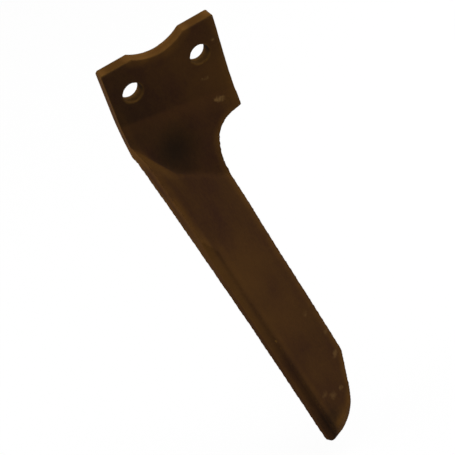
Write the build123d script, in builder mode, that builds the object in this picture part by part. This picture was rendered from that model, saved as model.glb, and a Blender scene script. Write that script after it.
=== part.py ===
from build123d import *
import os
from math import cos, radians, sin, sqrt

# Power harrow tine: one forging, a flat head with two bolt holes and a folded, twisted blade.
# Frame: origin on the mounting face, midway between the bolt holes. X runs along the bolt line,
# Z points up and the blade hangs down. The front of the tine faces -Y.

# Head
hole_spacing = 60.0
hole_diameter = 16.5
hole_bevel = 0.5
head_width = 98.0
head_thickness = 10.0
head_top = 27.5
head_corner = 1.2
hub_notch_radius = 38.0
hub_notch_height = 58.0
edge_round = 1.0

# Shoulder, the step from the wide head down to the narrower blade
shoulder_flare = 1.4
shoulder_flare_start = 29.5

# Neck, where the bar is folded forward and turned on its length
blade_lean_forward = 22.0
blade_twist = 22.0
blade_datum_x = 25.0
blade_datum_drop = 45.0
head_crease_drop = 32.8
head_crease_slope = 0.209
neck_corner_x = 23.0
neck_corner_drop = 80.3
neck_left_drop = 38.3
trailing_crease_slope = 0.762
head_bend_radius = 25.0
ledge_foot_radius = 5.0
ledge_brow_radius = 6.0
neck_back_radius = 8.0

# Ledge under the neck. At each station across, from the left: how deep the neck sinks there behind
# the blade's face, and how far down the ramp back to that face runs
ledge_left_margin = 7.0
ledge_middle_x = 12.0
ledge_right_margin = 12.0
ledge_depths = (0.8, 3.0, 0.4, 0.2)
ledge_ramps = (26.0, 4.0, 4.0, 4.0)

# Blade, measured in its own plane: across to the right and down from the datum
blade_thickness = 12.0
blade_left = 21.3
blade_left_tip = 27.0
blade_left_bow = 1.5
blade_right = 38.3
blade_right_tip = 32.8
blade_length = 334.8
waist_drop = 68.0
notch_drop = 27.6
notch_start = 58.5
notch_bulge = (46.7, 33.3)
notch_end = (41.0, 43.5)
waist_bulge = (38.3, 54.0)
left_run_in_start = -25.0
left_run_in_end = 12.0
left_run_in_margin = 4.8

# Tip, clipped on the trailing side and rounded below
clip_rise = 60.3
clip_corner = 12.0
clip_end_across = 14.0
clip_end_rise = 18.3
tip_arc_across = 4.2
tip_arc_rise = 5.6
tip_arc_end = -10.5
tip_left_rise = 1.5
tip_corner = 3.0
tip_bevel_start_across = 29.0
tip_bevel_start_rise = 24.0
tip_bevel_middle_across = 7.0
tip_bevel_middle_rise = 4.5
tip_bevel_end = -9.0
tip_bevel_width = 11.0
tip_bevel_depth = 5.0

# Leading edge bevel: how far down each station lies, its width across, its depth at the edge and
# the depth of the short wall along its inner side
bevel_stations = (
    (96.0, 1.0, 1.0, 0.2),
    (114.0, 8.0, 4.0, 0.6),
    (150.0, 6.5, 5.0, 1.0),
    (240.0, 6.0, 6.0, 1.6),
    (blade_length + 10.2, 7.0, 7.0, 3.0),
)

# How far cutting shapes pass the metal, and how near an edge lies to the line it follows
overrun = 60.0
on_line = 0.02

half_width = head_width / 2
leading_crease_slope = (neck_corner_drop - neck_left_drop) / (half_width - neck_corner_x)
ledge_places = (
    -half_width - ledge_left_margin,
    -neck_corner_x,
    ledge_middle_x,
    half_width + ledge_right_margin,
)
ledge_stations = tuple(zip(ledge_places, ledge_depths, ledge_ramps))

# The blade's plane, from its lean and its twist
lean = radians(blade_lean_forward)
twist = radians(blade_twist)
normal = Vector(sin(twist) * cos(lean), -cos(twist) * cos(lean), sin(lean))
across = Vector(cos(twist), sin(twist), 0)
datum = Vector(-blade_datum_x, -head_thickness, -blade_datum_drop)
blade_plane = Plane(origin=datum, x_dir=across, z_dir=normal)
blade_depth = blade_thickness / abs(normal.Y)
blank_bottom = -(blade_length + blade_datum_drop + overrun)
blank_top = head_top + overrun
left_foot_down = blade_length - tip_left_rise


def blade_front(x, z):
    """The point of the blade's front face at a given x and z."""
    rise = normal.X * (x - datum.X) + normal.Z * (z - datum.Z)
    return Vector(x, datum.Y - rise / normal.Y, z)


def neck_crease(x):
    """Height of the crease where the neck meets the ledge."""
    from_corner = x + neck_corner_x
    slope = leading_crease_slope if from_corner < 0 else trailing_crease_slope
    return -neck_corner_drop - slope * from_corner


def head_bend(station):
    """Front of the bend under the head."""
    return Vector(station[0], -head_thickness, -head_crease_drop - head_crease_slope * station[0])


def head_bend_back(station):
    """Back of the bend under the head."""
    return head_bend(station) + Vector(0, head_thickness, 0)


def ledge_foot(station):
    """Bottom of the neck, sunk behind the blade's face."""
    return blade_front(station[0], neck_crease(station[0])) + Vector(0, station[1], 0)


def ledge_brow(station):
    """Where the ledge reaches the blade's face."""
    return blade_front(station[0], neck_crease(station[0]) - station[2])


def neck_back(station):
    """Back of the fold between neck and blade."""
    return blade_front(station[0], neck_crease(station[0])) + Vector(0, blade_depth, 0)


def left_edge(down):
    """Place of the leading edge, across the blade, at a given distance down."""
    part_way = (down - left_run_in_end) / (left_foot_down - left_run_in_end)
    straight = blade_left + (blade_left_tip - blade_left) * part_way
    return 4 * blade_left_bow * part_way * (1 - part_way) - straight


def crease_edges(corner_at):
    """The tine's edges along one crease, which runs straight from station to station."""
    runs = [
        Edge.make_line(corner_at(first), corner_at(last))
        for first, last in zip(ledge_stations, ledge_stations[1:])
    ]
    return tine.edges().filter_by(
        lambda edge: any(
            all(run.distance_to(edge.position_at(t)) < on_line for t in (0, 0.5, 1)) for run in runs
        )
    )


# The forging before it is trimmed: a wide folded bar, lofted across its width
with BuildPart() as tine:
    for station in ledge_stations:
        blade_end = blade_front(station[0], blank_bottom)
        with BuildSketch(Plane.YZ.offset(station[0])):
            with BuildLine():
                Polyline(
                    (-head_thickness, blank_top),
                    (head_bend(station).Y, head_bend(station).Z),
                    (ledge_foot(station).Y, ledge_foot(station).Z),
                    (ledge_brow(station).Y, ledge_brow(station).Z),
                    (blade_end.Y, blank_bottom),
                    (blade_end.Y + blade_depth, blank_bottom),
                    (neck_back(station).Y, neck_back(station).Z),
                    (head_bend_back(station).Y, head_bend_back(station).Z),
                    (0, blank_top),
                    close=True,
                )
            make_face()
    loft(ruled=True)

    # Trimmed across the head: square sides, the flared shoulder and the notch for the rotor hub
    notch_half = sqrt(hub_notch_radius**2 - (hub_notch_height - head_top) ** 2)
    shoulder_x = half_width + shoulder_flare
    with BuildSketch(Plane.XZ.offset(-overrun)):
        with BuildLine():
            Polyline((-half_width, blank_bottom), (-half_width, head_top), (-notch_half, head_top))
            ThreePointArc(
                (-notch_half, head_top),
                (0, hub_notch_height - hub_notch_radius),
                (notch_half, head_top),
            )
            Polyline(
                (notch_half, head_top),
                (half_width, head_top),
                (half_width, -shoulder_flare_start),
                (shoulder_x, -2 * shoulder_flare_start),
                (shoulder_x, blank_bottom),
                (-half_width, blank_bottom),
            )
        make_face()
    extrude(amount=8 * overrun, mode=Mode.INTERSECT)

    # Trimmed square to the blade: its two edges, the notch under the shoulder and the tip
    head_left = (blade_datum_x - half_width) * cos(twist)
    left_corner = (head_left - left_run_in_margin, -left_run_in_start)
    left_top = (left_edge(left_run_in_end), -left_run_in_end)
    left_middle_down = (left_run_in_end + left_foot_down) / 2
    left_foot = (left_edge(left_foot_down), -left_foot_down)
    beyond = 3 * overrun
    clip_start = (blade_right_tip, clip_rise - blade_length)
    clip_end = (clip_end_across, clip_end_rise - blade_length)
    with BuildSketch(blade_plane.offset(-beyond)):
        with BuildLine():
            Polyline(left_top, left_corner, (left_corner[0], beyond), (beyond, beyond))
            Polyline((beyond, beyond), (beyond, -notch_drop), (notch_start, -notch_drop))
            ThreePointArc(
                (notch_start, -notch_drop),
                (notch_bulge[0], -notch_bulge[1]),
                (notch_end[0], -notch_end[1]),
            )
            ThreePointArc(
                (notch_end[0], -notch_end[1]),
                (waist_bulge[0], -waist_bulge[1]),
                (blade_right, -waist_drop),
            )
            Polyline(
                (blade_right, -waist_drop),
                clip_start,
                clip_end,
            )
            ThreePointArc(
                clip_end,
                (tip_arc_across, tip_arc_rise - blade_length),
                (tip_arc_end, -blade_length),
            )
            Line((tip_arc_end, -blade_length), left_foot)
            ThreePointArc(left_foot, (left_edge(left_middle_down), -left_middle_down), left_top)
        make_face()
    extrude(amount=2 * beyond, mode=Mode.INTERSECT)

    # The corners where the clip starts and at the foot of the leading edge are rounded
    for place, radius in ((clip_start, clip_corner), (left_foot, tip_corner)):
        corner = blade_plane.from_local_coords((*place, -blade_thickness / 2))
        fillet(tine.edges().filter_by(Axis(datum, normal)).sort_by_distance(corner)[0], radius)

    # The front edge of the tip is bevelled round its curve, fading out towards the clipped side
    with BuildLine(blade_plane):
        tip_path = ThreePointArc(
            (tip_bevel_start_across, tip_bevel_start_rise - blade_length),
            (tip_bevel_middle_across, tip_bevel_middle_rise - blade_length),
            (tip_bevel_end, -blade_length),
        )
        Line((tip_bevel_end, -blade_length), (2 * left_foot[0], 2 * left_foot[1] + blade_length))
    with BuildSketch(Plane(origin=tip_path @ 0, x_dir=normal, z_dir=tip_path % 0)):
        with BuildLine():
            Polyline(
                (tip_bevel_depth, 2 * tip_bevel_width),
                (-2 * tip_bevel_depth, -tip_bevel_width),
                (-2 * tip_bevel_depth, -2 * tip_bevel_width),
                (tip_bevel_depth, -2 * tip_bevel_width),
                close=True,
            )
        make_face()
    sweep(transition=Transition.RIGHT, mode=Mode.SUBTRACT)

    # The leading edge bevel, with a short wall where it meets the blade's face
    for down, width, depth, wall in bevel_stations:
        edge_point = blade_plane.from_local_coords((left_edge(down), -down, 0))
        slope = (depth - wall) / (width - wall / 2)
        reach = 2 * width
        with BuildSketch(Plane(origin=edge_point, x_dir=across, z_dir=-blade_plane.y_dir)):
            with BuildLine():
                Polyline(
                    (width, reach),
                    (width, 0),
                    (width - wall / 2, -wall),
                    (-reach, -depth - slope * reach),
                    (-reach, reach),
                    close=True,
                )
            make_face()
    loft(ruled=True, mode=Mode.SUBTRACT)

    # Bolt holes
    with BuildSketch(Plane.XZ.offset(-overrun)):
        with Locations((-hole_spacing / 2, 0), (hole_spacing / 2, 0)):
            Circle(hole_diameter / 2)
    extrude(amount=2 * overrun, mode=Mode.SUBTRACT)
    chamfer(tine.edges().filter_by(GeomType.CIRCLE).filter_by(lambda edge: edge.is_closed), hole_bevel)

    # The top corners of the head are clipped a little, then its whole top edge is rounded
    head_corners = tine.edges().filter_by(Axis.Y).filter_by(
        lambda edge: abs(abs(edge.center().X) - half_width) < on_line and edge.center().Z > 0
    )
    chamfer(head_corners, head_corner)
    top_edges = tine.edges().filter_by(
        lambda edge: edge.center().Z > head_top / 2
        and abs(edge.position_at(0).Y - edge.position_at(1).Y) < on_line
        and abs(edge.center().X) < half_width - on_line
    )
    fillet(top_edges, edge_round)

    # The bends of the neck are drawn round, front and back
    fillet(crease_edges(head_bend), head_bend_radius)
    fillet(crease_edges(head_bend_back), head_bend_radius)
    fillet(crease_edges(ledge_foot), ledge_foot_radius)
    fillet(crease_edges(ledge_brow), ledge_brow_radius)
    fillet(crease_edges(neck_back), neck_back_radius)

tine.part.label = "tine"
os.makedirs("parts", exist_ok=True)
export_step(tine.part, "parts/tine.step")
print("Tine volume, cubic cm:", round(tine.part.volume / 1000, 1))
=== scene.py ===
# %% [markdown]
# # Harrow tine
#
# A power harrow works the soil with pairs of upright blades that spin on vertical rotors. Each
# blade, the tine, is one forging: a flat head bolted under the rotor, a folded neck, and a long
# twisted blade whose leading edge is bevelled. The CAD part holds all of that. What it leaves out
# is what the hammer, the furnace and the oil did to the surface, so this script puts a forged skin
# over the solid, gives it a dark oiled steel finish with painted light and painted shade laid into
# its colour, and sets up a plain studio to look at it.

import math

import bpy
from mathutils import Matrix, Vector


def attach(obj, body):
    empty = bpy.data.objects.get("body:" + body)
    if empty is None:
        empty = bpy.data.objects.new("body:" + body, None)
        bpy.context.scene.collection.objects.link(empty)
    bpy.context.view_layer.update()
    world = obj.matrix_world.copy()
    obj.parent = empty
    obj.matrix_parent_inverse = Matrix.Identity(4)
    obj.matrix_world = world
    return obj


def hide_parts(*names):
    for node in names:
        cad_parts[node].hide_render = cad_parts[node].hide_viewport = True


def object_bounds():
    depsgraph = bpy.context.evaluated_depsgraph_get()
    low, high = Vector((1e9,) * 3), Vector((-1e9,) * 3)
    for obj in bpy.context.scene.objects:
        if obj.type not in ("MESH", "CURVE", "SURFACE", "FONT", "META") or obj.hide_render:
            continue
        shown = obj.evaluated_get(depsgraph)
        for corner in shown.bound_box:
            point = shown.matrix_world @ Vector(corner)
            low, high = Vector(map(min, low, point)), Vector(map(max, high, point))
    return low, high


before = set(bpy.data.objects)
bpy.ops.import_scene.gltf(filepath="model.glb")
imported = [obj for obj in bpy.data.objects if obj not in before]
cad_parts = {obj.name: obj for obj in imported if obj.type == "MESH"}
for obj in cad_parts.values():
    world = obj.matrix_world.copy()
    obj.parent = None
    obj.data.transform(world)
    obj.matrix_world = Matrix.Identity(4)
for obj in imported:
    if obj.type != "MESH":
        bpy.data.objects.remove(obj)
cad_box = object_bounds()
tine_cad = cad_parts["tine"]
print("CAD box:", cad_box)

# %% [markdown]
# ## Helpers for node trees
#
# Every tree below is built the same way: make a node, set its values, link its inputs. It could be
# written out node by node, but then the wiring would hide the idea. A few small functions keep it
# readable, for Geometry Nodes and for shaders alike.


# %% Node tree helpers
def add_node(tree, kind, **settings):
    """Adds a node and sets its settings by name."""
    node = tree.nodes.new(kind)
    for name, value in settings.items():
        setattr(node, name, value)
    return node


def connect(tree, source, socket):
    """Links the source if it is a socket, and otherwise makes it the socket's value."""
    if isinstance(source, bpy.types.NodeSocket):
        tree.links.new(source, socket)
    else:
        socket.default_value = source


def find_input(node, name):
    """The input with this name that is in use; a clear error if there is none."""
    for socket in node.inputs:
        if socket.name.lower() == name.lower() and socket.enabled:
            return socket
    raise KeyError(f"{node.bl_idname} has no input {name}")


def feed(tree, node, **sources):
    """Feeds inputs by name, with underscores for spaces."""
    for name, source in sources.items():
        connect(tree, source, find_input(node, name.replace("_", " ")))
    return node


def feed_first(tree, node, *sources):
    """Feeds a node's first inputs, in their order."""
    for socket, source in zip(node.inputs, sources):
        connect(tree, source, socket)
    return node


# %% Sums as nodes
def math_node(tree, operation, *sources):
    """One Math node, as an output socket."""
    return feed_first(tree, add_node(tree, "ShaderNodeMath", operation=operation), *sources).outputs[0]


def product(tree, first, *others):
    """Several values multiplied together."""
    for other in others:
        first = math_node(tree, "MULTIPLY", first, other)
    return first


def flipped(tree, mask):
    """One minus a mask."""
    return math_node(tree, "SUBTRACT", 1.0, mask)


def vector_math(tree, operation, *sources):
    """One Vector Math node, as the output that its operation fills."""
    node = feed_first(tree, add_node(tree, "ShaderNodeVectorMath", operation=operation), *sources)
    return node.outputs["Value" if operation in ("DISTANCE", "DOT_PRODUCT") else "Vector"]


def separated(tree, vector):
    """The X, Y and Z of a vector, as outputs with those names."""
    return feed_first(tree, add_node(tree, "ShaderNodeSeparateXYZ"), vector).outputs


def ramp(tree, value, low, high, to_low=0.0, to_high=1.0):
    """Maps a value smoothly from one range to another, clamped."""
    node = add_node(tree, "ShaderNodeMapRange", interpolation_type="SMOOTHSTEP")
    return feed_first(tree, node, value, low, high, to_low, to_high).outputs[0]


def tell(step, tree):
    """Prints how large a tree is after a step."""
    print(f"{step}: {len(tree.nodes)} nodes in the tree")


# %% [markdown]
# ## The forged skin
#
# A drop forging has no sharp edges and no truly flat face: the die leaves soft valleys, scale
# leaves shallow pits, and every edge is rounded a little. The skin starts as a copy of the CAD
# solid, remeshed into small even quads so that it can carry that relief. Even cells alone would
# leave steps along every slanted edge, so each point is then laid back onto the nearest spot of
# the solid. A Geometry Nodes tree does that, softens the edges and presses the faces in by
# fractions of a millimetre. Bump in the material would be less work, but it leaves the outline as
# sharp as before, so the relief is real geometry.

# %% Copy and remesh the solid
SKIN_CELL = 0.00096
DOUBLES_WITHIN = 1e-6


def plain_copy(source, name):
    """A copy of a CAD object with its doubled vertices merged."""
    mesh = source.data.copy()
    mesh.name = name
    copy = bpy.data.objects.new(name, mesh)
    bpy.context.scene.collection.objects.link(copy)
    weld = copy.modifiers.new("Merge doubles", "WELD")
    weld.merge_threshold = DOUBLES_WITHIN
    return copy


def settle(obj, name):
    """Replaces an object's mesh by what its modifiers make of it."""
    evaluated = obj.evaluated_get(bpy.context.evaluated_depsgraph_get())
    mesh = bpy.data.meshes.new_from_object(evaluated)
    mesh.name = name
    obj.modifiers.clear()
    obj.data = mesh
    return obj


solid = settle(plain_copy(tine_cad, "solid_reference"), "solid_reference")
skin = plain_copy(tine_cad, "forged_tine")
cells = skin.modifiers.new("Even cells", "REMESH")
cells.mode = "VOXEL"
cells.voxel_size = SKIN_CELL
settle(skin, "forged_tine")
print("Skin before relief:", len(skin.data.vertices), "vertices")

# %% [markdown]
# The relief is one Geometry Nodes tree with named inputs, so each effect has its own dial: how
# near an edge a point must be to be drawn onto it, how much the edges are softened, how deep the
# mottling of the die is, how deep the scale pits go, and how far the fold is hollowed. The bolt
# holes and the mounting face are masked, so they stay where the CAD puts them.

# %% Geometry Nodes tree: Forge relief, its inputs
relief = bpy.data.node_groups.new("Forge relief", "GeometryNodeTree")
RELIEF_INPUTS = {
    "Solid": ("NodeSocketObject", solid),
    "Sharp angle": ("NodeSocketFloat", 0.35),
    "Edge reach": ("NodeSocketFloat", 0.00080),
    "Edge softening": ("NodeSocketInt", 1),
    "Mottle depth": ("NodeSocketFloat", 0.00035),
    "Mottle size": ("NodeSocketFloat", 0.022),
    "Pit depth": ("NodeSocketFloat", 0.00012),
    "Pit size": ("NodeSocketFloat", 0.0035),
    "Fold dish depth": ("NodeSocketFloat", 0.0009),
    "Fold dish radius": ("NodeSocketFloat", 0.024),
    "Seed": ("NodeSocketFloat", 7.0),
}
relief.interface.new_socket("Geometry", in_out="INPUT", socket_type="NodeSocketGeometry")
for name, (kind, value) in RELIEF_INPUTS.items():
    socket = relief.interface.new_socket(name, in_out="INPUT", socket_type=kind)
    if kind != "NodeSocketObject":
        socket.default_value = value
relief.interface.new_socket("Geometry", in_out="OUTPUT", socket_type="NodeSocketGeometry")

dials = add_node(relief, "NodeGroupInput").outputs
position = add_node(relief, "GeometryNodeInputPosition").outputs[0]
axes = separated(relief, position)
print("Forge relief:", len(RELIEF_INPUTS), "inputs")

# %% Masks that keep the holes and the mounting face true
# The relief comes in over these distances, in metres, from a hole's rim and off the mounting face
HOLE_RADIUS = 0.00825
HOLE_PLACES_X = (-0.030, 0.030)
HOLE_KEEP = (0.0012, 0.0025)
MOUNTING_FACE_KEEP = (0.0004, 0.0020)


def outside_holes(tree, x, z):
    """How far a point lies outside the nearer bolt hole, as an output socket."""
    nearer = 1.0
    for hole_x in HOLE_PLACES_X:
        sideways = math_node(tree, "SUBTRACT", x, hole_x)
        squares = math_node(tree, "MULTIPLY_ADD", z, z, product(tree, sideways, sideways))
        outside = math_node(tree, "SUBTRACT", math_node(tree, "SQRT", squares), HOLE_RADIUS)
        nearer = math_node(tree, "MINIMUM", nearer, outside)
    return nearer


off_holes = ramp(relief, outside_holes(relief, axes["X"], axes["Z"]), *HOLE_KEEP)
in_front = math_node(relief, "MULTIPLY", axes["Y"], -1.0)
off_mounting_face = ramp(relief, in_front, *MOUNTING_FACE_KEEP)
tell("Masks", relief)

# %% [markdown]
# The points are laid on the solid in two moves. First each goes to the nearest spot on a face.
# Then those close to a sharp edge go onto that edge, so that the edges come out as clean lines.
# Between two rounds of this, the points are moved towards the middle of their neighbours, which
# spreads them evenly and takes out the steps of the cells.

# %% The solid's faces and its sharp edges
reference = feed(relief, add_node(relief, "GeometryNodeObjectInfo"), Object=dials["Solid"])
whole_solid = reference.outputs["Geometry"]
fold_angle = add_node(relief, "GeometryNodeInputMeshEdgeAngle").outputs["Unsigned Angle"]
sharp = math_node(relief, "GREATER_THAN", fold_angle, dials["Sharp angle"])
separate = add_node(relief, "GeometryNodeSeparateGeometry", domain="EDGE")
feed(relief, separate, Geometry=whole_solid, Selection=sharp)
sharp_edges = separate.outputs["Selection"]
tell("Reference", relief)


# %% Find, move and spread points
def nearest(target, element):
    """Where the nearest spot of the target lies, and how far off it is."""
    node = feed_first(relief, add_node(relief, "GeometryNodeProximity", target_element=element), target)
    return node.outputs["Position"], node.outputs["Distance"]


def moved(geometry, where, spot):
    """Sets the chosen points to new places."""
    node = add_node(relief, "GeometryNodeSetPosition")
    return feed(relief, node, Geometry=geometry, Selection=where, Position=spot).outputs[0]


def averaged(geometry, steps, where=True):
    """Moves each point towards the middle of its neighbours."""
    blurred = add_node(relief, "GeometryNodeBlurAttribute", data_type="FLOAT_VECTOR")
    feed(relief, blurred, Value=position, Iterations=steps)
    return moved(geometry, where, blurred.outputs["Value"])


# %% Lay the skin on the solid
HOLE_REACH_SHARE = 0.4
LAYING_ROUNDS = 3
SPREADING_STEPS = 2


def laid_on_solid(geometry):
    """Sets points onto the solid's faces, and those close to a sharp edge onto that edge."""
    face_spot, _ = nearest(whole_solid, "FACES")
    on_faces = moved(geometry, True, face_spot)
    edge_spot, edge_gap = nearest(sharp_edges, "EDGES")
    share = ramp(relief, off_holes, 0.0, 1.0, HOLE_REACH_SHARE, 1.0)
    close = math_node(relief, "LESS_THAN", edge_gap, product(relief, dials["Edge reach"], share))
    return moved(on_faces, close, edge_spot)


shape = laid_on_solid(dials["Geometry"])
for _ in range(LAYING_ROUNDS):
    shape = laid_on_solid(averaged(shape, SPREADING_STEPS))
tell("Laying on", relief)

# %% [markdown]
# The finish later needs to know how near an edge a point lies, so that distance is stored on the
# mesh now, while the points still lie on the solid. Then the edges are softened by moving their
# points towards the middle of their neighbours. A Bevel modifier would need clean lines of edges
# to work along, which a remeshed skin doesn't have.

# %% Keep the distance to the edges, then soften the edges
AWAY_FROM_HOLES = 0.5

_, edge_gap = nearest(sharp_edges, "EDGES")
remember = add_node(relief, "GeometryNodeStoreNamedAttribute", domain="POINT", data_type="FLOAT")
feed(relief, remember, Geometry=shape, Name="edge_gap", Value=edge_gap)
away = math_node(relief, "GREATER_THAN", off_holes, AWAY_FROM_HOLES)
soft_shape = averaged(remember.outputs[0], dials["Edge softening"], away)
tell("Softening", relief)

# %% [markdown]
# Three kinds of relief are added up as one depth, and the skin is pressed in by it along its own
# normals: broad mottling from the die, small pits where scale has come off, and the hollow that
# the rounded nose of the die leaves in the fold. The tree ends by realizing instances and setting
# the material, so that whatever is added to it later still comes out as one plain mesh.

# %% Mottling, pits and the dish in the fold
FOLD_MIDDLE = Vector((-0.015, -0.0165, -0.060))
MOTTLE_RANGE = (0.30, 0.75)
MOTTLE_DETAIL = 2.0
PIT_RANGE = (0.52, 0.75)
PIT_DETAIL = 3.0
PIT_ROUGHNESS = 0.6


def relief_noise(size, detail, roughness=0.5):
    """Seeded noise over the part, with a feature size in metres, from 0 to 1."""
    node = add_node(relief, "ShaderNodeTexNoise", noise_dimensions="4D")
    per_metre = math_node(relief, "DIVIDE", 1.0, size)
    feed(relief, node, Vector=position, W=dials["Seed"], Scale=per_metre)
    return feed(relief, node, Detail=detail, Roughness=roughness).outputs[0]


mottle = ramp(relief, relief_noise(dials["Mottle size"], MOTTLE_DETAIL), *MOTTLE_RANGE)
pits = ramp(relief, relief_noise(dials["Pit size"], PIT_DETAIL, PIT_ROUGHNESS), *PIT_RANGE)
to_fold = vector_math(relief, "DISTANCE", position, FOLD_MIDDLE)
dish = ramp(relief, to_fold, 0.0, dials["Fold dish radius"], 1.0, 0.0)
depth = product(relief, mottle, dials["Mottle depth"])
depth = math_node(relief, "ADD", depth, product(relief, pits, dials["Pit depth"]))
depth = math_node(relief, "ADD", depth, product(relief, dish, dials["Fold dish depth"]))
depth = product(relief, depth, off_mounting_face, off_holes)
tell("Depth", relief)

# %% Press the skin in and finish the tree
normal = add_node(relief, "GeometryNodeInputNormal").outputs[0]
inwards = add_node(relief, "ShaderNodeVectorMath", operation="SCALE")
feed(relief, inwards, Vector=normal, Scale=product(relief, depth, -1.0))
press = add_node(relief, "GeometryNodeSetPosition")
feed(relief, press, Geometry=soft_shape, Offset=inwards.outputs[0])
smooth = feed(relief, add_node(relief, "GeometryNodeSetShadeSmooth"), Geometry=press.outputs[0])
realize = feed(relief, add_node(relief, "GeometryNodeRealizeInstances"), Geometry=smooth.outputs[0])
set_material = feed(relief, add_node(relief, "GeometryNodeSetMaterial"), Geometry=realize.outputs[0])
relief.links.new(set_material.outputs[0], add_node(relief, "NodeGroupOutput").inputs[0])
tell("Pressing in", relief)

# %% [markdown]
# ## The finish: dark oiled forging
#
# The tine is bare spring steel, black-brown from the furnace and dipped in oil, so it has a
# deep brown colour with hardly any white sheen. Where the scale is thick it is darkest and
# reddish; where it is thin, and along the edges that other tines have rubbed in the crate, it
# turns golden. On top of that, painted light and painted shade are laid into the colour: golden
# where the light falls brightest, dark in the fold and in the hollows. The effects that any
# forging has are node groups with inputs of their own, so they can be used on another one.


# %% Helpers for shader node groups
def shader_group(name, inputs, outputs):
    """A shader node group with named sockets."""
    group = bpy.data.node_groups.new(name, "ShaderNodeTree")
    for label, kind, value in inputs:
        socket = group.interface.new_socket(label, in_out="INPUT", socket_type=kind)
        socket.default_value = value
    for label, kind in outputs:
        group.interface.new_socket(label, in_out="OUTPUT", socket_type=kind)
    return group, group.nodes.new("NodeGroupInput").outputs, group.nodes.new("NodeGroupOutput")


def use_group(tree, group, **sources):
    """Puts a node group into a tree and feeds its inputs by name."""
    return feed(tree, add_node(tree, "ShaderNodeGroup", node_tree=group), **sources)


def colour_mix(tree, mask, first, second):
    """Mixes two colours by a mask, as an output socket."""
    node = add_node(tree, "ShaderNodeMix", data_type="RGBA")
    feed(tree, node, Factor=mask, A=first, B=second)
    return next(socket for socket in node.outputs if socket.enabled)


def shader_noise(tree, vector, size, detail, roughness=0.5):
    """Noise from 0 to 1, with a feature size in metres."""
    per_metre = math_node(tree, "DIVIDE", 1.0, size)
    node = add_node(tree, "ShaderNodeTexNoise")
    feed(tree, node, Vector=vector, Scale=per_metre, Detail=detail, Roughness=roughness)
    return node.outputs[0]


# %% [markdown]
# Forging draws the metal out along the blade, so its clouds and its grain are longer that way. A
# UV map could carry that direction, but a skin of many small quads is hard to unwrap. This group
# uses Object coordinates instead: it turns a point into metres across, down and out of the blade,
# from a datum at the neck, and shortens the middle one so that a pattern on it is stretched.

# %% Node group: Along the blade
LEAN = math.radians(22)
TWIST = math.radians(22)
DATUM = Vector((-0.025, -0.010, -0.045))
NORMAL = Vector((math.sin(TWIST) * math.cos(LEAN), -math.cos(TWIST) * math.cos(LEAN), math.sin(LEAN)))
ACROSS = Vector((math.cos(TWIST), math.sin(TWIST), 0))
DOWN = ACROSS.cross(NORMAL)

lay_group, lay_in, lay_out = shader_group(
    "Along the blade",
    (("Vector", "NodeSocketVector", (0, 0, 0)), ("Stretch", "NodeSocketFloat", 2.5)),
    (("Vector", "NodeSocketVector"), ("Across", "NodeSocketFloat"), ("Down", "NodeSocketFloat")),
)
from_datum = vector_math(lay_group, "SUBTRACT", lay_in["Vector"], DATUM)
across, down, out = (
    vector_math(lay_group, "DOT_PRODUCT", from_datum, axis) for axis in (ACROSS, DOWN, NORMAL)
)
joined = add_node(lay_group, "ShaderNodeCombineXYZ")
feed_first(lay_group, joined, across, math_node(lay_group, "DIVIDE", down, lay_in["Stretch"]), out)
feed(lay_group, lay_out, Vector=joined.outputs[0], Across=across, Down=down)
print("Blade runs down", tuple(round(v, 3) for v in DOWN))

# %% [markdown]
# Scale is the crust that hot steel grows in air. It flakes off in clouds and has a fine grain of
# its own. A photograph of steel would repeat or run out of detail up close, so two noises make
# it: a large one for the clouds and a small one for the grain, blended into one thickness.

# %% Node group: Forge scale
THIN_SCALE = (0.049, 0.0225, 0.0079, 1)
THICK_SCALE = (0.032, 0.0135, 0.0080, 1)
CLOUD_RANGE = (0.34, 0.68)
GRAIN_RANGE = (0.25, 0.80)
GRAIN_ROUGHNESS = 0.6
SCALE_DETAIL = 3.0

scale_group, scale_in, scale_out = shader_group(
    "Forge scale",
    (
        ("Vector", "NodeSocketVector", (0, 0, 0)),
        ("Thin scale", "NodeSocketColor", THIN_SCALE),
        ("Thick scale", "NodeSocketColor", THICK_SCALE),
        ("Cloud size", "NodeSocketFloat", 0.028),
        ("Grain size", "NodeSocketFloat", 0.0022),
        ("Grain share", "NodeSocketFloat", 0.36),
    ),
    (("Color", "NodeSocketColor"), ("Mask", "NodeSocketFloat"), ("Height", "NodeSocketFloat")),
)
clouds = shader_noise(scale_group, scale_in["Vector"], scale_in["Cloud size"], SCALE_DETAIL)
grain_size = scale_in["Grain size"]
grain = shader_noise(scale_group, scale_in["Vector"], grain_size, SCALE_DETAIL, GRAIN_ROUGHNESS)
blend = feed(
    scale_group,
    add_node(scale_group, "ShaderNodeMix"),
    Factor=scale_in["Grain share"],
    A=ramp(scale_group, clouds, *CLOUD_RANGE),
    B=ramp(scale_group, grain, *GRAIN_RANGE),
)
thickness = blend.outputs[0]
scale_colour = colour_mix(scale_group, thickness, scale_in["Thin scale"], scale_in["Thick scale"])
feed(scale_group, scale_out, Color=scale_colour, Mask=thickness, Height=grain)
tell("Forge scale", scale_group)

# %% [markdown]
# The sharpest corners lose their scale first. Cycles tells how far a surface stands out from what
# is around it, as Pointiness, so nothing has to be painted: the rubbed colour comes in where that
# is high, and the grain breaks it up.

# %% Node group: Rubbed edges
RUBBED_EDGE = (0.092, 0.046, 0.0100, 1)

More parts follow.
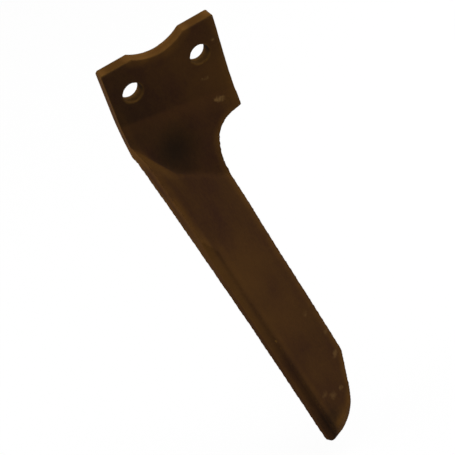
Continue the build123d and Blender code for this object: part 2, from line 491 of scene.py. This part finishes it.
edge_group, edge_in, edge_out = shader_group(
    "Rubbed edges",
    (
        ("Color", "NodeSocketColor", THICK_SCALE),
        ("Rubbed", "NodeSocketColor", RUBBED_EDGE),
        ("Start", "NodeSocketFloat", 0.512),
        ("Full", "NodeSocketFloat", 0.580),
        ("Breakup", "NodeSocketFloat", 0.5),
    ),
    (("Color", "NodeSocketColor"),),
)
pointiness = add_node(edge_group, "ShaderNodeNewGeometry").outputs["Pointiness"]
standing_out = ramp(edge_group, pointiness, edge_in["Start"], edge_in["Full"])
edge_mask = product(edge_group, standing_out, edge_in["Breakup"])
edge_colour = colour_mix(edge_group, edge_mask, edge_in["Color"], edge_in["Rubbed"])
feed(edge_group, edge_out, Color=edge_colour)
tell("Rubbed edges", edge_group)

# %% [markdown]
# Painted shade, painted light and bare specks have one thing in common: they are strongest at a
# spot and fade away from it. So one group makes a soft round mask about a point, and is used for
# all of them.

# %% Node group: Soft patch
patch_group, patch_in, patch_out = shader_group(
    "Soft patch",
    (
        ("Vector", "NodeSocketVector", (0, 0, 0)),
        ("Centre", "NodeSocketVector", (0, 0, 0)),
        ("Radius", "NodeSocketFloat", 0.01),
        ("Strength", "NodeSocketFloat", 1.0),
    ),
    (("Mask", "NodeSocketFloat"),),
)
from_centre = vector_math(patch_group, "DISTANCE", patch_in["Vector"], patch_in["Centre"])
patch = ramp(patch_group, from_centre, 0.0, patch_in["Radius"], 1.0, 0.0)
feed(patch_group, patch_out, Mask=product(patch_group, patch, patch_in["Strength"]))
tell("Soft patch", patch_group)

# %% [markdown]
# The marks below come in three lists. Painted shade darkens the fold, the left of the head and
# the tip. Painted light makes paler patches down the middle of the blade, on the head, at the
# shoulder and near the tip. A handful of specks and short scratches show bare metal, and one short
# dash near the end of the first fold is a painted glint. Each is a centre, a radius in metres and
# a strength.

# %% Where the marks lie
# Painted shade: darker patches in the fold, on the left of the head and at the tip
PAINTED_SHADE_PATCHES = (
    (Vector((-0.0160, -0.0185, -0.0640)), 0.034, 0.82),
    (Vector((-0.0130, -0.0215, -0.0780)), 0.022, 0.55),
    (Vector((-0.0400, -0.0100, -0.0200)), 0.050, 0.40),
    (Vector((-0.0450, -0.0100, 0.0100)), 0.045, 0.30),
    (Vector((-0.0040, -0.1240, -0.3380)), 0.026, 0.80),
)
# Painted light: paler patches where the light falls brightest
PAINTED_LIGHT_PATCHES = (
    (Vector((-0.0102, -0.0642, -0.1831)), 0.060, 0.55),
    (Vector((0.0005, -0.0800, -0.2350)), 0.055, 0.45),
    (Vector((0.0465, -0.0100, -0.0300)), 0.050, 0.60),
    (Vector((0.0200, -0.0100, 0.0050)), 0.040, 0.25),
    (Vector((0.0450, -0.0105, -0.0500)), 0.022, 0.75),
    (Vector((0.0120, -0.1050, -0.3000)), 0.055, 0.22),
    (Vector((0.0150, -0.1250, -0.3470)), 0.020, 0.85),
)
SPECKS_AND_GLINT = (
    (Vector((0.0360, -0.0950, -0.2966)), 0.0052, 0.32),
    (Vector((0.0264, -0.1104, -0.3229)), 0.0040, 0.25),
    (Vector((0.0154, -0.1140, -0.3210)), 0.0052, 0.23),
    (Vector((0.0082, -0.1139, -0.3142)), 0.0046, 0.19),
    (Vector((0.0370, -0.0857, -0.2761)), 0.0036, 0.19),
    (Vector((0.0257, -0.0781, -0.2483)), 0.0028, 0.19),
    (Vector((0.0434, -0.0100, 0.0058)), 0.0030, 0.40),
    # These three make a short dash near the end of the first fold: a painted glint
    (Vector((0.0316, -0.0108, -0.0459)), 0.0034, 0.55),
    (Vector((0.0346, -0.0108, -0.0468)), 0.0034, 0.55),
    (Vector((0.0376, -0.0108, -0.0478)), 0.0030, 0.45),
    (Vector((0.0246, -0.0100, -0.0216)), 0.0022, 0.22),
    (Vector((0.0270, -0.0100, -0.0225)), 0.0022, 0.25),
    (Vector((0.0294, -0.0100, -0.0234)), 0.0022, 0.20),
)
print(len(PAINTED_SHADE_PATCHES), "shaded areas,", len(PAINTED_LIGHT_PATCHES), "thin areas,", len(SPECKS_AND_GLINT), "bare specks")

# %% [markdown]
# The material is built up in coats: scale first, then painted light and painted shade, then what
# has been rubbed and the bare specks. Each coat mixes one more colour over the last by a mask, so
# a coat can be changed or left out without touching the others. First come the shader and the
# coordinates that the coats run on. Noise pushes the coordinates of the patches about, so that no
# patch or speck has a drawn outline.

# %% Material: oiled forged steel
GRAIN_STRETCH = 2.2
RAGGED_SCALE = 260.0
RAGGED_DETAIL = 3.0
RAGGED_REACH = (0.007, 0.007, 0.007)
NOISE_MIDDLE = (0.5, 0.5, 0.5)

steel = bpy.data.materials.new("forged_steel")
steel.use_nodes = True
tree = steel.node_tree
tree.nodes.clear()
shader = add_node(tree, "ShaderNodeBsdfPrincipled")
tree.links.new(shader.outputs[0], add_node(tree, "ShaderNodeOutputMaterial").inputs["Surface"])

object_coords = add_node(tree, "ShaderNodeTexCoord").outputs["Object"]
place = separated(tree, object_coords)
from_holes = outside_holes(tree, place["X"], place["Z"])
lay = use_group(tree, lay_group, Vector=object_coords, Stretch=GRAIN_STRETCH).outputs
outward = add_node(tree, "ShaderNodeNewGeometry").outputs["Normal"]
outward_axes = separated(tree, outward)

wander = add_node(tree, "ShaderNodeTexNoise")
feed(tree, wander, Vector=object_coords, Scale=RAGGED_SCALE, Detail=RAGGED_DETAIL)
centred = vector_math(tree, "SUBTRACT", wander.outputs["Color"], NOISE_MIDDLE)
ragged = vector_math(tree, "MULTIPLY_ADD", centred, RAGGED_REACH, object_coords)
tell("Coordinates", tree)

# %% [markdown]
# The first coat is scale, and it covers everything. Over it goes painted light: paler golden
# patches down the middle of the blade, on the head and at the shoulder, where the light falls
# brightest. One large patch there would look like a spotlight, so several soft ones are joined,
# and at each point the strongest wins.

# %% Scale all over, with painted light in places
# Painted light: the paler golden colour of those patches
PAINTED_LIGHT_GOLD = (0.076, 0.0345, 0.0092, 1)


def patches(marks):
    """One mask for several soft patches, the strongest winning."""
    mask = 0.0
    for centre, radius, strength in marks:
        one = use_group(tree, patch_group, Vector=ragged)
        feed(tree, one, Centre=centre, Radius=radius, Strength=strength)
        mask = math_node(tree, "MAXIMUM", mask, one.outputs["Mask"])
    return mask


scale = use_group(tree, scale_group, Vector=lay["Vector"]).outputs
colour = colour_mix(tree, patches(PAINTED_LIGHT_PATCHES), scale["Color"], PAINTED_LIGHT_GOLD)
tell("Scale", tree)

# %% [markdown]
# Painted shade fills the fold and stops at the ledge, which stands out of it. Painting that mask
# would tie it to one mesh, so the ledge's line is worked out on the blade's plane: it is the higher
# of two straight lines that meet at its corner. Just below it on the leading side, and just below
# the first fold, painted light makes the metal paler.

# %% Painted shade in the fold, and the ledge that ends it
# The ledge's slopes are metres down for each metre across
# Painted shade: the dark colour for the fold, the head's left and the tip
PAINTED_SHADE = (0.0105, 0.0075, 0.0052, 1)
LEDGE_CORNER_ACROSS = -0.0036
LEDGE_CORNER_DOWN = 0.0381
LEDGE_LEADING_SLOPE = 2.13
LEDGE_TRAILING_SLOPE = 0.861
LEDGE_BLUR = (-0.0015, 0.0020)
SHADE_PAST_LEDGE = 0.15
TIP_STARTS = (0.20, 0.25)

from_corner = math_node(tree, "SUBTRACT", lay["Across"], LEDGE_CORNER_ACROSS)
leading_line = math_node(tree, "MULTIPLY", from_corner, LEDGE_LEADING_SLOPE)
trailing_line = math_node(tree, "MULTIPLY", from_corner, LEDGE_TRAILING_SLOPE)
ledge_line = math_node(tree, "MINIMUM", leading_line, trailing_line)
below_corner = math_node(tree, "SUBTRACT", lay["Down"], LEDGE_CORNER_DOWN)
below_ledge = math_node(tree, "SUBTRACT", below_corner, ledge_line)

shade_on_neck = ramp(tree, below_ledge, *LEDGE_BLUR, 1.0, SHADE_PAST_LEDGE)
shade_on_tip = ramp(tree, lay["Down"], *TIP_STARTS)
painted_shade_mask = product(tree, patches(PAINTED_SHADE_PATCHES), math_node(tree, "MAXIMUM", shade_on_neck, shade_on_tip))
colour = colour_mix(tree, painted_shade_mask, colour, PAINTED_SHADE)
tell("Shade", tree)

# %% Painted highlight in a wedge below the ledge
# Painted highlight: the paler colour of the wedge below the ledge
PAINTED_LEDGE_HIGHLIGHT = (0.080, 0.0370, 0.0095, 1)
WEDGE_START = (-0.0015, 0.0025)
WEDGE_END = (0.005, 0.026)
WEDGE_ACROSS = (-0.010, 0.002)
WEDGE_STRENGTH = 0.75

ledge_highlight = product(
    tree,
    ramp(tree, below_ledge, *WEDGE_START),
    ramp(tree, below_ledge, *WEDGE_END, 1.0, 0.0),
    ramp(tree, from_corner, *WEDGE_ACROSS, WEDGE_STRENGTH, 0.0),
)
colour = colour_mix(tree, ledge_highlight, colour, PAINTED_LEDGE_HIGHLIGHT)
tell("Wedge", tree)

# %% Painted light in a band below the first fold
# Painted light: the paler colour of the band below the first fold
PAINTED_FOLD_LIGHT = (0.064, 0.0270, 0.0095, 1)
FOLD_HEIGHT = -0.0328
FOLD_SLOPE = 0.209
BAND_START = (-0.0020, 0.0020)
BAND_END = (0.002, 0.016)
BAND_STRENGTH = 0.32

fold_height = math_node(tree, "MULTIPLY_ADD", place["X"], -FOLD_SLOPE, FOLD_HEIGHT)
below_fold = math_node(tree, "SUBTRACT", fold_height, place["Z"])
fold_light_band = product(
    tree,
    ramp(tree, below_fold, *BAND_START, 0.0, BAND_STRENGTH),
    ramp(tree, below_fold, *BAND_END, 1.0, 0.0),
)
colour = colour_mix(tree, fold_light_band, colour, PAINTED_FOLD_LIGHT)
tell("Band", tree)

# %% [markdown]
# Painted light makes the bevel on the leading edge golden near the neck. Towards the tip it turns
# darker. A line of painted shade stands along its top, where the bevel meets the face, and grows
# wider and darker on the way down.

# %% The bevel on the leading edge
# Its top line lies so far across at the datum, and moves by the slant for each metre down
BEVEL_TOP = -0.0112
BEVEL_SLANT = -0.0295
# Painted light on the bevel near the neck, and a darker colour towards the tip
PAINTED_BEVEL_LIGHT = (0.078, 0.0355, 0.0105, 1)
DARKER_BEVEL = (0.024, 0.0105, 0.0060, 1)
BEVEL_BLUR = 0.0035
BEVEL_STARTS = (0.075, 0.105)
GOLDEN_FADES = (0.13, 0.26)
GOLDEN_STRENGTH = 0.85
BEVEL_DARKENS = (0.17, 0.34)
BEVEL_DARKENING_STRENGTH = 0.75

bevel_line = math_node(tree, "MULTIPLY_ADD", lay["Down"], BEVEL_SLANT, BEVEL_TOP)
past_line = math_node(tree, "SUBTRACT", bevel_line, lay["Across"])
on_bevel = ramp(tree, past_line, 0.0, BEVEL_BLUR)
bevel_light = product(
    tree,
    on_bevel,
    ramp(tree, lay["Down"], *GOLDEN_FADES, GOLDEN_STRENGTH, 0.0),
    ramp(tree, lay["Down"], *BEVEL_STARTS),
)
colour = colour_mix(tree, bevel_light, colour, PAINTED_BEVEL_LIGHT)
# The bevel turns darker towards the tip
bevel_darkening = product(tree, on_bevel, ramp(tree, lay["Down"], *BEVEL_DARKENS, 0.0, BEVEL_DARKENING_STRENGTH))
colour = colour_mix(tree, bevel_darkening, colour, DARKER_BEVEL)
tell("Bevel", tree)

# %% The line of painted shade along the top of the bevel
# Painted shade: the dark line where the bevel meets the face
PAINTED_SHADE_LINE = (0.012, 0.0062, 0.0038, 1)
LINE_WIDENS = (0.12, 0.33)
LINE_WIDTHS = (0.0030, 0.0054)
LINE_DARKENS = (0.12, 0.31)
LINE_STRENGTH = 0.60

off_line = math_node(tree, "ABSOLUTE", past_line)
line_width = ramp(tree, lay["Down"], *LINE_WIDENS, *LINE_WIDTHS)
shade_line = product(
    tree,
    ramp(tree, off_line, 0.0, line_width, 1.0, 0.0),
    ramp(tree, lay["Down"], *LINE_DARKENS, 0.0, LINE_STRENGTH),
)
colour = colour_mix(tree, shade_line, colour, PAINTED_SHADE_LINE)
tell("Dark line", tree)

# %% [markdown]
# The head's top edge faces up, towards the light, so painted light makes it golden. Which way
# the surface faces is enough to find it, because hardly anything else on the tine looks up.

# %% Painted light on the head's top edge
PAINTED_TOP_LIGHT = (0.054, 0.0232, 0.0030, 1)
TOP_FACES = (0.55, 0.90)
TOP_STRENGTH = 0.60

# Painted light on every surface that faces up
top_light_mask = ramp(tree, outward_axes["Z"], *TOP_FACES, 0.0, TOP_STRENGTH)
colour = colour_mix(tree, top_light_mask, colour, PAINTED_TOP_LIGHT)
tell("Top edge", tree)

# %% [markdown]
# Tines rub against each other in the crate, which leaves a golden margin along the edges, and
# painted light adds to it the light that the rounded edges catch. It follows the distance to the
# nearest sharp edge that the relief tree has kept on the mesh. It stays clear of the bevel's line
# of painted shade, of the bolt holes and of the leading side of the head, which is in painted
# shade, and noise makes it patchy.

# %% The golden margin along the edges: rubbed wear and painted light
# Golden margin: wear along the edges, and painted light on their rounding
RUBBED_AND_LIT_MARGIN = (0.086, 0.0385, 0.0092, 1)
MARGIN_WIDTH = (0.0005, 0.0085)
PATCH_SIZE = 0.016
PATCH_DETAIL = 3.0
PATCH_RANGE = (0.28, 0.62)
PATCH_LOW = 0.45
CLEAR_OF_LINE = 0.009
LINE_CLEARED_FROM = (0.05, 0.10)
CLEAR_OF_HOLES = (0.006, 0.012)
MARGIN_STRENGTH = 0.75
SHADED_SIDE_X = (-0.0485, -0.0360)
SHADED_SIDE_Z = (-0.055, -0.040)
SHADED_SIDE_FRONT = (0.4, 0.9)
SHADED_SIDE_STRENGTH = 0.9

gap = add_node(tree, "ShaderNodeAttribute", attribute_name="edge_gap").outputs["Fac"]
patch_noise = shader_noise(tree, object_coords, PATCH_SIZE, PATCH_DETAIL)
near_line = product(
    tree,
    ramp(tree, off_line, 0.0, CLEAR_OF_LINE, 1.0, 0.0),
    ramp(tree, lay["Down"], *LINE_CLEARED_FROM),
)
facing_front = math_node(tree, "MULTIPLY", outward_axes["Y"], -1.0)
shaded_head_side = product(
    tree,
    ramp(tree, place["X"], *SHADED_SIDE_X, SHADED_SIDE_STRENGTH, 0.0),
    ramp(tree, place["Z"], *SHADED_SIDE_Z),
    ramp(tree, facing_front, *SHADED_SIDE_FRONT),
)
rubbed_and_lit_margin = product(
    tree,
    ramp(tree, gap, *MARGIN_WIDTH, 1.0, 0.0),
    ramp(tree, patch_noise, *PATCH_RANGE, PATCH_LOW, 1.0),
    flipped(tree, math_node(tree, "MAXIMUM", near_line, bevel_darkening)),
    ramp(tree, from_holes, *CLEAR_OF_HOLES, 0.0, MARGIN_STRENGTH),
    flipped(tree, shaded_head_side),
)
colour = colour_mix(tree, rubbed_and_lit_margin, colour, RUBBED_AND_LIT_MARGIN)
tell("Margin", tree)

# %% [markdown]
# Two places are left that the coats above get wrong. The blade's narrow sides get painted
# shade, darker than its faces. The bolt holes are punched through after forging, and their walls
# get painted light where they face up and painted shade elsewhere. Both are found from the way
# the surface faces and from where it lies.

# %% Painted shade on the blade's narrow sides
# Painted shade: the darker colour of the narrow sides
SHADED_BLADE_SIDE = (0.036, 0.0150, 0.0052, 1)
SIDE_FACES = (0.25, 0.60)
SIDE_STARTS = (0.0, 0.20)
SIDE_STRENGTH = 0.9

facing_blade = math_node(tree, "ABSOLUTE", vector_math(tree, "DOT_PRODUCT", outward, NORMAL))
side_shade = product(
    tree,
    ramp(tree, facing_blade, *SIDE_FACES, 1.0, 0.0),
    ramp(tree, lay["Down"], *SIDE_STARTS, 0.0, SIDE_STRENGTH),
)
colour = colour_mix(tree, side_shade, colour, SHADED_BLADE_SIDE)
tell("Narrow sides", tree)

# %% Painted light and shade on the walls of the bolt holes
# Painted shade on the hole walls, and painted light where they face up
SHADED_HOLE_WALL = (0.020, 0.0105, 0.0062, 1)
LIT_HOLE_WALL = (0.100, 0.0490, 0.0145, 1)
LIT_WALL_FACES = (-0.1, 0.8)
WALL_BLUR = 0.0006

lit_wall = ramp(tree, outward_axes["Z"], *LIT_WALL_FACES)
wall_light_and_shade = colour_mix(tree, lit_wall, SHADED_HOLE_WALL, LIT_HOLE_WALL)
wall = ramp(tree, from_holes, 0.0, WALL_BLUR, 1.0, 0.0)
colour = colour_mix(tree, wall, colour, wall_light_and_shade)
tell("Hole walls", tree)

# %% [markdown]
# Last come the things that lie on top of every coat: the rubbed corners, the specks and short
# scratches where bare metal shows, and a painted glint near the end of the first fold.

# %% Rubbed corners, bare specks and a painted glint
# Bare steel for the specks, and the painted glint
BARE_STEEL_AND_GLINT = (0.21, 0.120, 0.042, 1)
BREAKUP_RANGE = (0.30, 0.62)
BREAKUP_LOW = 0.25

breakup = ramp(tree, scale["Height"], *BREAKUP_RANGE, BREAKUP_LOW, 1.0)
edges = use_group(tree, edge_group, Color=colour, Breakup=breakup).outputs
speck_and_glint_mask = patches(SPECKS_AND_GLINT)
colour = colour_mix(tree, speck_and_glint_mask, edges["Color"], BARE_STEEL_AND_GLINT)
tell("Specks", tree)

# %% [markdown]
# The oiled scale is dark and dull, so the shader has little of its own reflection: a strong one
# would turn the thin sides grey wherever they show the white studio at a low angle. Only the bare
# specks and the painted glint are metallic. Thick scale is rougher than thin, and its grain gives
# the bump.

# %% Gloss, roughness and bump
SPECK_METAL = (0.02, 0.40)
SCALE_ROUGHNESS = (0.50, 0.66)
SHADER_VALUES = {"IOR": 1.2, "Specular IOR Level": 0.015, "Specular Tint": (0.8, 0.45, 0.18, 1)}
BUMP_STRENGTH = 0.35
BUMP_DISTANCE = 0.0004

for name, value in SHADER_VALUES.items():
    shader.inputs[name].default_value = value
bump = add_node(tree, "ShaderNodeBump")
feed(tree, bump, Strength=BUMP_STRENGTH, Distance=BUMP_DISTANCE, Height=scale["Height"])
feed(
    tree,
    shader,
    Base_Color=colour,
    Metallic=ramp(tree, speck_and_glint_mask, 0.0, 1.0, *SPECK_METAL),
    Roughness=ramp(tree, scale["Mask"], 0.0, 1.0, *SCALE_ROUGHNESS),
    Normal=bump.outputs[0],
)
print("Finish:", len(tree.nodes), "nodes, four kinds of node group")

# %% [markdown]
# Now that the material is there, the relief can run. Its modifier could stay live, but a plain
# mesh is surer to come out the same in every export, so the result is kept as one. It takes the
# place of the tine's CAD node and rides on the part's only body.

# %% Run the relief on the skin and keep the result as a plain mesh
set_material.inputs["Material"].default_value = steel
modifier = skin.modifiers.new("Forge relief", "NODES")
modifier.node_group = relief
for item in relief.interface.items_tree:
    if item.in_out == "INPUT" and item.name in RELIEF_INPUTS:
        modifier[item.identifier] = RELIEF_INPUTS[item.name][1]
settle(skin, "forged_tine")
bpy.data.objects.remove(solid)
print("Forged skin:", len(skin.data.vertices), "vertices,", len(skin.data.polygons), "faces")

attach(skin, "root")
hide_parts("tine")

# %% [markdown]
# ## The studio
#
# The tine stands as it hangs on its rotor, so nothing rests on the floor: the floor lies just
# below the tip. It is a plain pale sheet that reads as white to the camera and to reflections,
# while it still takes the tine's shadow. The world does the same: it is white where it is seen or
# mirrored, and gives only a low even light to the part. A white floor and a bright world would be
# simpler, but they would wash out the dark faces and lay a grey veil over the sides.


# %% White where it is seen
WHITE = (1, 1, 1, 1)


def seen_rays(tree):
    """1 for camera, glossy and transmission rays, and 0 for the rays that light a surface."""
    rays = add_node(tree, "ShaderNodeLightPath").outputs
    mirrored = math_node(tree, "MAXIMUM", rays["Is Glossy Ray"], rays["Is Transmission Ray"])
    return math_node(tree, "MAXIMUM", rays["Is Camera Ray"], mirrored)


def white_where_seen(tree, output, share, lit, white):
    """Mixes a shader with white by the kind of ray, into a material's or a world's output."""
    mix = add_node(tree, "ShaderNodeMixShader")
    feed_first(tree, mix, share, lit.outputs[0], white.outputs[0])
    tree.links.new(mix.outputs[0], output.inputs["Surface"])


# %% Floor
FLOOR_DROP = 0.02
FLOOR_HALF = 3.0
FLOOR_GREY = (0.7, 0.7, 0.7, 1)
FLOOR_ROUGHNESS = 0.9
FLOOR_WHITE_SHARE = 0.94

floor_z = cad_box[0][2] - FLOOR_DROP
corners = ((-1, -1), (1, -1), (1, 1), (-1, 1))
floor_mesh = bpy.data.meshes.new("studio_floor")
places = [(FLOOR_HALF * x, FLOOR_HALF * y, floor_z) for x, y in corners]
floor_mesh.from_pydata(places, [], [(0, 1, 2, 3)])
floor = bpy.data.objects.new("studio_floor", floor_mesh)
bpy.context.scene.collection.objects.link(floor)

pale = bpy.data.materials.new("pale_floor")
pale.use_nodes = True
floor_tree = pale.node_tree
floor_tree.nodes.clear()
matt = add_node(floor_tree, "ShaderNodeBsdfPrincipled")
feed(floor_tree, matt, Base_Color=FLOOR_GREY, Roughness=FLOOR_ROUGHNESS)
glow = feed(floor_tree, add_node(floor_tree, "ShaderNodeEmission"), Color=WHITE, Strength=1.0)
floor_out = add_node(floor_tree, "ShaderNodeOutputMaterial")
floor_share = product(floor_tree, seen_rays(floor_tree), FLOOR_WHITE_SHARE)
white_where_seen(floor_tree, floor_out, floor_share, matt, glow)
floor.data.materials.append(pale)
print("Floor at z =", round(floor_z, 4))

# %% World
AMBIENT_STRENGTH = 0.35

world = bpy.data.worlds.new("studio")
bpy.context.scene.world = world
world.use_nodes = True
world_tree = world.node_tree
world_tree.nodes.clear()
ambient = add_node(world_tree, "ShaderNodeBackground")
feed(world_tree, ambient, Color=WHITE, Strength=AMBIENT_STRENGTH)
backdrop = add_node(world_tree, "ShaderNodeBackground")
feed(world_tree, backdrop, Color=WHITE, Strength=1.0)
world_out = add_node(world_tree, "ShaderNodeOutputWorld")
white_where_seen(world_tree, world_out, seen_rays(world_tree), ambient, backdrop)
tell("World", world_tree)

# %% [markdown]
# Two soft lamps stand at the sides and one above, all of them a little behind the head's front
# face. That is what makes the top edge and the leading edge brighter than the faces, as they are
# in the photograph, and lets the neck fall into shade below the fold.

# %% Lamps
LAMP_TARGET = Vector((0.0, -0.05, -0.16))
LAMPS = (
    ("right_light", (0.90, 0.05, 0.70), 0.9, 16),
    ("left_light", (-1.08, 0.10, 0.35), 0.9, 10),
    ("top_light", (-0.10, 0.20, 1.10), 0.7, 7),
)


def lamp(name, stand, size, power):
    """A square soft lamp aimed at the tine."""
    data = bpy.data.lights.new(name, "AREA")
    data.shape = "SQUARE"
    data.size = size
    data.energy = power
    obj = bpy.data.objects.new(name, data)
    bpy.context.scene.collection.objects.link(obj)
    obj.location = stand
    obj.rotation_euler = (LAMP_TARGET - Vector(stand)).to_track_quat("-Z", "Y").to_euler()


for settings in LAMPS:
    lamp(*settings)
print(len(LAMPS), "lamps")

# %% [markdown]
# ## The camera
#
# The photograph was taken with the tine tilted in front of a normal to long lens. The camera was
# solved from the head: its outline, the notch and both rims of both holes, with the 60 mm bolt
# spacing for scale. It stands about 0.9 m away, to the left of the front and well above it, and
# is rolled so that the bolt line climbs to the right, as in the photograph.

# %% Camera
CAMERA_PLACE = Vector((-0.22397, -0.70564, 0.54519))
LOOK = Vector((0.22414, 0.67631, -0.70169))
UP = Vector((0.51243, 0.53065, 0.67515))
FRAME_PIXELS = 455
FOCAL_PIXELS = 1200
SENSOR_MM = 36

camera_data = bpy.data.cameras.new("camera")
camera_data.sensor_width = SENSOR_MM
camera_data.lens = FOCAL_PIXELS / FRAME_PIXELS * SENSOR_MM
camera = bpy.data.objects.new("camera", camera_data)
bpy.context.scene.collection.objects.link(camera)
back = -LOOK.normalized()
right = UP.cross(back).normalized()
above = back.cross(right)
turn = Matrix((right, above, back)).transposed()
camera.matrix_world = Matrix.Translation(CAMERA_PLACE) @ turn.to_4x4()
bpy.context.scene.camera = camera
bpy.context.scene.view_settings.view_transform = "Standard"
print("Camera lens in mm:", round(camera_data.lens, 1))
